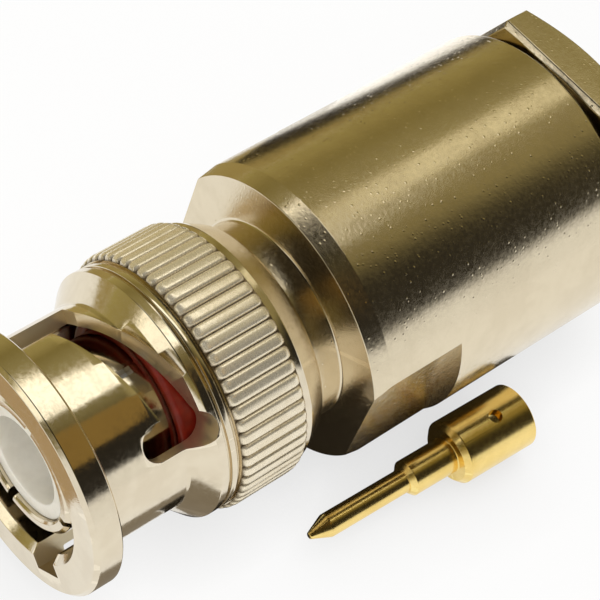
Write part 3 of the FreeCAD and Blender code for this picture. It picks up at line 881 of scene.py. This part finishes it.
@dataclass
class PlugBody:
    """The turned body with its neck, spanner flats and clamp bore, and what sits inside it."""

    finishes: Finishes
    neck_front: float = 9.1
    neck_bore: float = 3.73
    neck_bore_end: float = 11.5
    collar: float = 4.72
    groove: tuple[float, float] = (9.9, 10.5)
    groove_root: float = 4.05
    neck: float = 4.4
    shoulder: float = 14.9
    shoulder_radius: float = 5.6
    front: float = 16.5
    front_edge: float = 8.13
    taper_end: float = 17.57
    rear_bevel: float = 34.1
    end: float = 34.75
    end_edge: float = 7.7
    radius: float = 8.35
    flat: float = 7.5
    flat_end: float = 22.2
    insulator_bore: float = 3.3
    cavity: tuple[float, float] = (18.0, 24.4)
    cavity_bore: float = 6.2
    clamp_bore: float = 7.1
    sleeve: float = 4.05
    sleeve_end: float = 9.05
    sleeve_foot: float = 3.7
    insulator: float = 3.27
    pin_bore: float = 1.91

    def build(self) -> None:
        """Makes the body and every inner piece."""
        pieces = (
            (self.make_body, Slot.NICKEL, SATIN_NICKEL, "plug_body"),
            (self.make_sleeve, Slot.NICKEL, BRIGHT_NICKEL, "outer_contact"),
            (self.make_cup, Slot.WHITE, WAXY_WHITE, "front_insulator"),
            (self.make_bush, Slot.WHITE, WAXY_WHITE, "rear_insulator"),
            (self.make_face_gasket, Slot.RED, RED_RUBBER, "face_gasket"),
            (self.make_ferrule, Slot.NICKEL, SATIN_NICKEL, "braid_clamp"),
            (self.make_cable_gasket, Slot.DARK, DARK_RUBBER, "cable_gasket"))
        for make, slot, finish, node in pieces:
            place(make(), Rider.PLUG, slot, self.finishes.get(finish), [node])

    def make_body(self) -> Object:
        """The body, turned and then milled flat on both sides."""
        seat, clamp_seat = self.cavity
        section: list[Corner] = [
            (self.neck_front, self.neck_bore, 0.03), (self.neck_front, self.collar, 0.06),
            (self.groove[0], self.collar, 0.05), (self.groove[0], self.groove_root, 0.03),
            (self.groove[1], self.groove_root, 0.03), (self.groove[1], self.neck, 0.04),
            (self.shoulder, self.neck, 0.1), (self.shoulder, self.shoulder_radius, 0.05),
            (self.front, self.shoulder_radius, 0.15), (self.front, self.front_edge, 0.06),
            (self.taper_end, self.radius, 0.25), (self.rear_bevel, self.radius, 0.12),
            (self.end, self.end_edge, 0.08), (self.end, self.clamp_bore, 0.06),
            (clamp_seat, self.clamp_bore, 0.05), (clamp_seat, self.cavity_bore, 0.05),
            (seat, self.cavity_bore, 0.05), (seat, self.insulator_bore, 0.05),
            (self.neck_bore_end, self.insulator_bore, 0.03), (self.neck_bore_end, self.neck_bore, 0.03)]
        body = lathe("plug_body_shell", section, 360)
        run = (self.front - 0.5, self.flat_end)
        carve(body, [slab(f"flat_tool_{side}", run, (side * self.flat, side * (self.flat + 2)), (-9, 9))
                     for side in (1, -1)])
        crisp(body)
        return body

    def make_sleeve(self) -> Object:
        """The springy sleeve with its four saw cuts."""
        section: list[Corner] = [
            (0.6, 3.425, 0.03), (0.6, 3.8, 0.05), (0.85, self.sleeve, 0.12),
            (self.sleeve_end, self.sleeve, 0.04), (self.sleeve_end, self.sleeve_foot, 0.03),
            (11.45, self.sleeve_foot, 0.03),
            (11.45, self.insulator_bore, 0.03), (0.725, self.insulator_bore, 0.05)]
        sleeve = lathe("outer_contact_sleeve", section, 256)
        carve(sleeve, [slab(f"saw_tool_{number}", (0.2, 6.6), (-0.225, 0.225), (0.3, 4.6), 90 * number)
                       for number in range(4)])
        crisp(sleeve)
        return sleeve

    def make_cup(self) -> Object:
        """The white cup, open at the front."""
        section: list[Corner] = [
            (0.9, 2.45, 0.08), (0.9, self.insulator, 0.06), (10.7, self.insulator, 0.05), (10.7, 1.07, 0.05),
            (7.6, 1.07, 0.06), (7.6, 2.45, 0.2)]
        return lathe("front_insulator_cup", section, 192, 6)

    def make_bush(self) -> Object:
        """The flanged bush behind it."""
        section: list[Corner] = [
            (10.75, self.pin_bore, 0.05), (10.75, self.insulator, 0.05), (18.05, self.insulator, 0.05),
            (18.05, 6.17, 0.06), (19.6, 6.17, 0.06), (19.6, self.pin_bore, 0.08)]
        return lathe("rear_insulator_bush", section)

    def make_face_gasket(self) -> Object:
        """The red ring that seals on the socket's face, with softly rounded lips."""
        section: list[Corner] = [
            (7.2, 4.08, 0.22), (7.2, 4.75, 0.28), (self.sleeve_end, 4.75, 0.2), (self.sleeve_end, 4.08, 0.1)]
        return lathe("face_gasket_ring", section, 192, 8)

    def make_ferrule(self) -> Object:
        """The tapered ferrule for the braid."""
        section: list[Corner] = [
            (19.65, 3.75, 0.05), (19.65, 4.5, 0.08), (21.65, 6.17, 0.1), (24.4, 6.17, 0.05),
            (24.4, 5.18, 0.05), (21.65, 5.18, 0.1), (21.65, 3.75, 0.08)]
        return lathe("braid_clamp_ferrule", section)

    def make_cable_gasket(self) -> Object:
        """The rubber ring with its vee."""
        section: list[Corner] = [
            (24.45, 5.18, 0.06), (25.15, 6.125, 0.1), (24.45, 7.07, 0.06), (28.15, 7.07, 0.08),
            (28.15, 5.18, 0.08)]
        return lathe("cable_gasket_ring", section, 128, 6)


@dataclass
class ClampNut:
    """The hexagon nut that squeezes the cable gasket, and its slip washer."""

    finishes: Finishes
    bore: float = 5.4
    shank: float = 7.04
    shank_front: float = 29.05
    depth: float = 0.35
    pitch: float = 1.0
    head: tuple[float, float] = (34.95, 37.45)
    flat: float = 7.75
    turn: float = 51.5
    front_bevel: float = 0.27
    corner_bevel: float = 0.85
    countersink: float = 0.18
    edge: float = 0.05
    face: float = 7.5

    def build(self) -> None:
        """Makes the head, shank and washer."""
        nickel = self.finishes.get(SATIN_NICKEL)
        place(self.make_head(), Rider.CLAMP, Slot.NICKEL, nickel, ["clamp_nut"])
        place(self.make_shank(), Rider.CLAMP, Slot.NICKEL, nickel)
        place(self.make_washer(), Rider.CLAMP_FOLLOWER, Slot.NICKEL, nickel, ["slip_washer"])

    def make_head(self) -> Object:
        """The hexagon, broken along its front edges and chamfered at its rear corners."""
        start, end = self.head
        to_corner = 1 / math.cos(math.pi / 6)
        sections = (
            (start, self.flat - self.front_bevel), (start + self.front_bevel, self.flat), (end, self.flat))
        verts = [(x, flat * to_corner * math.cos(a), flat * to_corner * math.sin(a))
                 for x, flat in sections for a in (math.radians(self.turn + 60 * k) for k in range(6))]
        faces: list[tuple[int, ...]] = [tuple(range(5, -1, -1)), tuple(range(12, 18))]
        for row in (0, 6):
            faces += [(row + k, row + (k + 1) % 6, row + 6 + (k + 1) % 6, row + 6 + k) for k in range(6)]
        head = make_object("clamp_nut_head", verts, faces)
        face_outward(head)
        soften = head.modifiers.new("soften", "BEVEL")
        soften.width, soften.segments, soften.limit_method = self.edge * MM, 3, "ANGLE"
        soften.angle_limit = math.radians(20)
        settle(head)
        corner, chamfer, past = self.flat * to_corner, end - self.corner_bevel, 0.3
        cone = lathe("corner_tool", [
            (start - 1, 0.5, 0.01), (start - 1, corner + 1, 0.01), (chamfer, corner + 1, 0.01),
            (chamfer, corner, 0.01), (end, self.face, self.edge), (end + 0.02, 0.5, 0.01)], 240, 3)
        carve(head, [cone], "INTERSECT")
        drill = lathe("drill_tool", [
            (start - 1, 0.2, 0.01), (start - 1, self.bore, 0.01),
            (end - self.countersink, self.bore, self.edge),
            (end + past, self.bore + self.countersink + past, 0.01), (end + past, 0.2, 0.01)], 240, 3)
        carve(head, [drill])
        crisp(head, 25.0)
        return head

    def make_shank(self) -> Object:
        """The shank with its running thread."""
        start, end = self.shank_front, self.head[0] + 0.1
        root, rows = self.shank - self.depth, 90
        first = start + 0.02
        rings: list[Ring] = [(start, self.bore + 0.05, -1, 0), (start, root - 0.05, -1, 0)]
        rings += [(first + (end - first) * k / rows, self.shank, 0, 1) for k in range(rows + 1)]
        rings += [(end, self.bore, 1, 0), (start + 0.05, self.bore, 0, -1)]
        shank = turned("clamp_nut_shank", rings, even_angles(160), self.thread_radius)
        crisp(shank, 40.0)
        return shank

    def thread_radius(self, x: float, r: float, angle: float) -> float:
        """The radius with the running thread cut in; takes the same values as CouplingNut.tooth_radius()."""
        if r < self.shank - 1e-6:
            return r
        phase = ((x - self.shank_front) / self.pitch - angle / (2 * math.pi)) % 1.0
        crest = 1.0 - abs(2 * phase - 1)
        height = min(1.0, max(0.0, (crest - 0.12) / 0.72))
        fade = min(1.0, (x - self.shank_front) / 0.5, max(0.0, (self.head[0] - 0.25 - x) / 0.3))
        return self.shank - self.depth * (1.0 - height * max(0.0, fade))

    def make_washer(self) -> Object:
        """The flat washer between gasket and nut."""
        section: list[Corner] = [
            (28.2, self.bore, 0.06), (28.2, self.shank, 0.06), (29.0, self.shank, 0.06),
            (29.0, self.bore, 0.06)]
        return lathe("slip_washer_ring", section)


@dataclass
class ContactPin:
    """The loose gold contact pin on the table."""

    finishes: Finishes
    tip: tuple[float, float, float] = (13.55, -9.35, -6.47)
    yaw: float = -1.8
    shaft: float = 0.675
    step: float = 1.04
    barrel: float = 1.88
    length: float = 14.4
    solder_bore: float = 1.25
    sight_place: float = 12.35
    sight: float = 0.4

    def build(self) -> None:
        """Makes the pin where the CAD has it."""
        place(self.make_pin(), Rider.PLUG, Slot.GOLD, self.finishes.get(BRIGHT_GOLD), ["contact_pin"])

    def make_pin(self) -> Object:
        """The pin, turned, with its solder cup and sight hole."""
        section: list[Corner] = [
            (0.0, 0.004, 0.0), (0.0, 0.18, 0.12), (1.2, self.shaft, 0.3), (6.4, self.shaft, 0.06),
            (6.4, 0.74, 0.01), (6.7, self.step, 0.06), (9.5, self.step, 0.08), (9.5, 1.58, 0.03),
            (9.8, self.barrel, 0.08), (self.length, self.barrel, 0.07), (self.length, self.solder_bore, 0.05),
            (10.3, self.solder_bore, 0.05), (9.675, 0.004, 0.0)]
        pin = turned("contact_pin_turned", rounded(section, 5, closed=False), even_angles(160), closed=False)
        face_outward(pin)
        hole = [(self.sight_place + self.sight * math.cos(a), self.sight * math.sin(a), 0.3)
                for a in even_angles(48)]
        carve(pin, [prism("sight_tool", hole, Vector((0, 0, 2.2)))])
        crisp(pin)
        lay = Matrix.Translation(Vector(self.tip) * MM) @ Matrix.Rotation(math.radians(self.yaw), 4, "Z")
        pin.data.transform(lay)
        return pin


@dataclass
class SpringParts:
    """The hidden spring pieces: rings as the CAD has them, and washers that flatten with the nut's pull."""

    finishes: Finishes
    rings: tuple[str, ...] = ("retaining_ring", "thrust_washer")
    washers: tuple[str, ...] = ("wave_washer_front", "wave_washer_rear")
    sheet: float = 0.16
    bore: float = 4.5
    waves: int = 3
    travel: float = 1.2

    def build(self) -> None:
        """Gives the rings their metal and makes the washers, squashed against the retaining ring."""
        metal = self.finishes.get(SPRING_METAL)
        for name in self.washers:
            washer = self.make_washer(name)
            place(washer, Rider.PLUG, Slot.SPRING, metal, [name])
            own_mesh(washer)
        for name in self.rings:
            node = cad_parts[name]
            for slot in node.material_slots:
                slot.link = "OBJECT"
                slot.material = metal
            log.info("%s: CAD node dressed in %s", name, metal.name)

    def make_washer(self, node: str) -> Object:
        """A sheet ring pressed into waves.

        Args:
            node: The CAD node that it stands for.

        Returns:
            The washer, where the node is.
        """
        low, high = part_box(node)
        middle, outer, half = (low[0] + high[0]) / 2, high[2] / MM, self.sheet / 2
        rise = (high[0] - low[0]) / 2 - half * MM
        section: list[Corner] = [
            (-half, self.bore, 0.02), (-half, outer, 0.02), (half, outer, 0.02), (half, self.bore, 0.02)]
        washer = lathe(node + "_spring", section, 144)
        for vertex in washer.data.vertices:
            vertex.co.x += middle + rise * math.cos(self.waves * math.atan2(vertex.co.z, vertex.co.y))
        crisp(washer)
        return settle(washer)


@dataclass(frozen=True)
class SoftBox:
    """A soft box lamp that faces the plug.

    Its place is in degrees above the table and from +X towards +Y. Its size is in metres, with the side first
    that follows long_side. A radiance of 1 looks white, and polished metal shows a mirrored lamp.
    """

    name: str
    elevation: float
    azimuth: float
    size: tuple[float, float]
    radiance: float
    colour: Colour
    long_side: Vector
    mirrored: bool = True

    def build(self, middle: Vector, distance: float) -> None:
        """Makes the lamp at a distance from the plug's middle."""
        light = bpy.data.lights.new(self.name, "AREA")
        light.shape = "RECTANGLE"
        light.size, light.size_y = self.size
        watts = self.radiance * math.pi * self.size[0] * self.size[1]
        light.energy, light.color = watts, self.colour
        lamp = bpy.data.objects.new(self.name, light)
        lamp.visible_glossy = self.mirrored
        bpy.context.scene.collection.objects.link(lamp)
        out = direction(self.elevation, self.azimuth)
        side = (self.long_side - out * self.long_side.dot(out)).normalized()
        turn = Matrix((side, out.cross(side), out)).transposed().to_4x4()
        lamp.matrix_world = Matrix.Translation((middle + out * distance) * MM) @ turn
        log.info("%s: %.2f W", self.name, watts)


@dataclass
class Studio:
    """The pale floor, the dim room round it, the soft lamps, and glowing cards that paint reflections and
    shade into polished metal.
    """

    floor_height: float = -8.355
    floor_reach: float = 500.0
    middle: tuple[float, float, float] = (18.0, 0.0, 0.0)
    distance: float = 400.0
    # Reach of the floor's painted contact shade, in millimetres.
    shadow_reach: float = 5.0
    glow_share: float = 0.9
    # Height of the card that paints a warm reflection above the near side.
    painted_warm_reflection_height: float = 27.0
    # Colour of the near-black cards that paint shade into the metal's reflections.
    shade: Colour = (0.02, 0.016, 0.011)

    def build(self) -> None:
        """Makes everything that isn't part of the object."""
        self.make_floor()
        self.make_cards()
        self.make_room()
        main_swing = direction(45, 78) - direction(69, 0)
        side_swing = direction(41, 48) - direction(57, 8)
        up, white = Vector((0, 0, 1)), (1.0, 0.995, 0.985)
        for lamp in (
                SoftBox("main_box", 62, 52, (0.32, 0.075), 1.45, (1.0, 0.99, 0.95), main_swing),
                SoftBox("side_box", 50, 30, (0.11, 0.075), 0.6, (1.0, 0.95, 0.75), side_swing),
                SoftBox("left_box", 26, 157, (0.22, 0.13), 1.3, (1.0, 0.98, 0.90), direction(0, 247)),
                SoftBox("top_fill", 75, 75, (0.53, 0.53), 1.35, white, up, mirrored=False),
                SoftBox("front_fill", 42, -160, (0.355, 0.355), 1.9, white, up, mirrored=False)):
            lamp.build(Vector(self.middle), self.distance)

    def make_floor(self) -> None:
        """A pale sheet that mostly glows white for camera and mirror rays; ambient occlusion dims that glow
        near the plug as painted contact shade.
        """
        around = even_angles(64)
        verts = [(self.floor_reach * math.cos(a) + self.middle[0], self.floor_reach * math.sin(a),
                  self.floor_height) for a in around]
        floor = make_object("floor", verts, [tuple(range(len(around)))])
        material, graph, surface = new_material("pale_sheet")
        fibres = graph.span(graph.noise(graph.add("TexCoord").outputs["Object"], 900.0, 3.0), 0.3, 0.7)
        paper = graph.mix(fibres, rgba((0.955, 0.955, 0.955)), rgba((0.965, 0.965, 0.965)))
        shader = graph.add("BsdfPrincipled", {
            "Base Color": paper, "Roughness": 0.9, "Specular IOR Level": 0.1})
        # Painted contact shade: the glow dims where ambient occlusion finds the plug close by.
        painted_contact_shade = graph.add("AmbientOcclusion", {"Distance": self.shadow_reach * MM}, samples=8)
        glow = graph.add("Emission", {"Strength": graph.linear(painted_contact_shade.outputs["AO"], 0.72, 1.0)})
        rays = graph.add("LightPath").outputs
        mirrored = graph.math("MAXIMUM", rays["Is Glossy Ray"], rays["Is Transmission Ray"])
        seen = graph.math("MAXIMUM", rays["Is Camera Ray"], mirrored)
        share = graph.math("MULTIPLY", seen, self.glow_share)
        blend = graph.add("MixShader", {0: share, 1: shader.outputs[0], 2: glow.outputs[0]})
        graph.feed(surface, blend.outputs[0])
        floor.data.materials.append(material)

    def make_cards(self) -> None:
        """Flat glowing cards that only polished metal shows: painted reflections, dark and olive beyond the
        sheet, a glare on it and a warm tone above the near side; and painted shade under and in front of the
        plug.
        """
        cards = {
            # Painted dark reflection beyond the sheet.
            "painted_dark_reflection": (self.shade, [
                (30, 19.5), (46, 31.5), (100, 68), (190, 120), (110, 120), (52, 62), (31, 32)]),
            # Painted olive reflection beyond the sheet.
            "painted_olive_reflection": ((0.37, 0.29, 0.11), [
                (-14, 50), (8, 33), (22, 17), (30, 19.5), (31, 32), (52, 62), (110, 120), (190, 120),
                (400, 300), (0, 480), (-300, 300)]),
            # Painted glare reflection, brighter than white.
            "painted_glare_reflection": ((1.3, 1.32, 1.36), [(33, 11), (60, 11), (60, 41), (46, 31.5), (36, 23)]),
            # Painted shade: near-black under the plug, standing for its contact shadow.
            "shade_core": (self.shade, [(8.5, -9.3), (31, -10.1), (34, 6), (8.5, 6)]),
            # Painted shade: a grey penumbra in front of the nut and beside the pin.
            "shade_edge": ((0.25, 0.215, 0.165), [
                (-1, -14.5), (3.5, -12.8), (13, -11.8), (13, -9.2), (8.4, -9.2), (8.4, -5.5), (2, -5.5)]),
            # Painted shade: brown in front of the mouth.
            "mouth_shade": ((0.45, 0.32, 0.17), [(-8, 9), (-2.5, 9), (-2.6, -0.3), (-7, -0.8)]),
            # Painted warm reflection, raised above the near side.
            "painted_warm_reflection": ((0.25, 0.16, 0.045), [(5, -23), (17, -23), (17, -8), (5, -6)]),
        }
        for number, (name, (colour, outline)) in enumerate(cards.items()):
            height = self.floor_height + 0.03 + 0.01 * number
            if name == "painted_warm_reflection":
                height = self.painted_warm_reflection_height
            card = make_object(name, [(x, y, height) for x, y in outline], [tuple(range(len(outline)))])
            material, graph, surface = new_material(name)
            # Each card only glows with its colour: a painted reflection, or painted shade where it is dark;
            # only mirror rays see it.
            graph.feed(surface, graph.add("Emission", {"Color": rgba(colour)}).outputs[0])
            card.data.materials.append(material)
            card.visible_camera = card.visible_shadow = card.visible_diffuse = False

    def make_room(self) -> None:
        """A dim brown room: pale low down on the near side, dark above it, olive behind and overhead."""
        world = bpy.data.worlds.new("room")
        bpy.context.scene.world = world
        world.use_nodes = True
        graph = Graph(world.node_tree)
        look = graph.vector("NORMALIZE", graph.add("TexCoord").outputs["Generated"]).outputs[0]
        height = graph.add("SeparateXYZ", {0: look}).outputs["Z"]
        ramp = graph.add("ValToRGB", {0: height})
        stops = ((0.17, (0.33, 0.27, 0.10)), (0.36, (0.225, 0.18, 0.058)), (0.64, (0.30, 0.255, 0.11)),
                 (0.80, (0.30, 0.25, 0.11)))
        elements = ramp.color_ramp.elements
        elements[0].color, elements[1].color = rgba((0.38, 0.32, 0.115)), rgba((0.15, 0.125, 0.047))
        for position, colour in stops:
            elements.new(position).color = rgba(colour)
        room = ramp.outputs[0]
        for middle, wide, narrow in ((direction(38, -82), 47, 29), (direction(62, 158), 50, 30)):
            toward = graph.vector("DOT_PRODUCT", look, tuple(middle)).outputs["Value"]
            share = graph.span(toward, math.cos(math.radians(wide)), math.cos(math.radians(narrow)))
            room = graph.mix(share, room, rgba((0.024, 0.021, 0.016)))
        toward = graph.vector("DOT_PRODUCT", look, tuple(direction(0, -100))).outputs["Value"]
        near = graph.span(toward, -0.1, 0.25)
        low = graph.span(height, 0.25, 0.32, 1.0, 0.0)
        room = graph.mix(graph.math("MULTIPLY", near, low), room, rgba((0.93, 0.93, 0.92)))
        back = graph.add("Background", {"Color": room, "Strength": 1.0})
        graph.add("OutputWorld", {"Surface": back.outputs[0]})


@dataclass
class PhotoCamera:
    """The camera, where the photograph was taken from."""

    place: tuple[float, float, float] = (-38.062, -34.486, 104.382)
    right: tuple[float, float, float] = (0.76993, -0.59958, 0.21844)
    up: tuple[float, float, float] = (0.4452, 0.74994, 0.48927)
    back: tuple[float, float, float] = (-0.45717, -0.27945, 0.84433)
    lens: float = 141.93

    def build(self) -> None:
        """Makes the camera and the view settings."""
        data = bpy.data.cameras.new("photo_camera")
        data.sensor_width, data.lens = 36.0, self.lens
        data.clip_start, data.clip_end = 0.005, 10.0
        camera = bpy.data.objects.new("photo_camera", data)
        bpy.context.scene.collection.objects.link(camera)
        turn = Matrix((Vector(self.right), Vector(self.up), Vector(self.back))).transposed().to_4x4()
        camera.matrix_world = Matrix.Translation(Vector(self.place) * MM) @ turn
        bpy.context.scene.camera = camera
        bpy.context.scene.view_settings.view_transform = "Standard"


def main() -> None:
    """Builds the plug's pieces in order, then the studio and camera."""
    finishes = Finishes()
    for part in (CouplingNut(finishes), PlugBody(finishes), ClampNut(finishes), ContactPin(finishes),
                 SpringParts(finishes)):
        part.build()
    Studio().build()
    PhotoCamera().build()


if __name__ == "__main__":
    main()
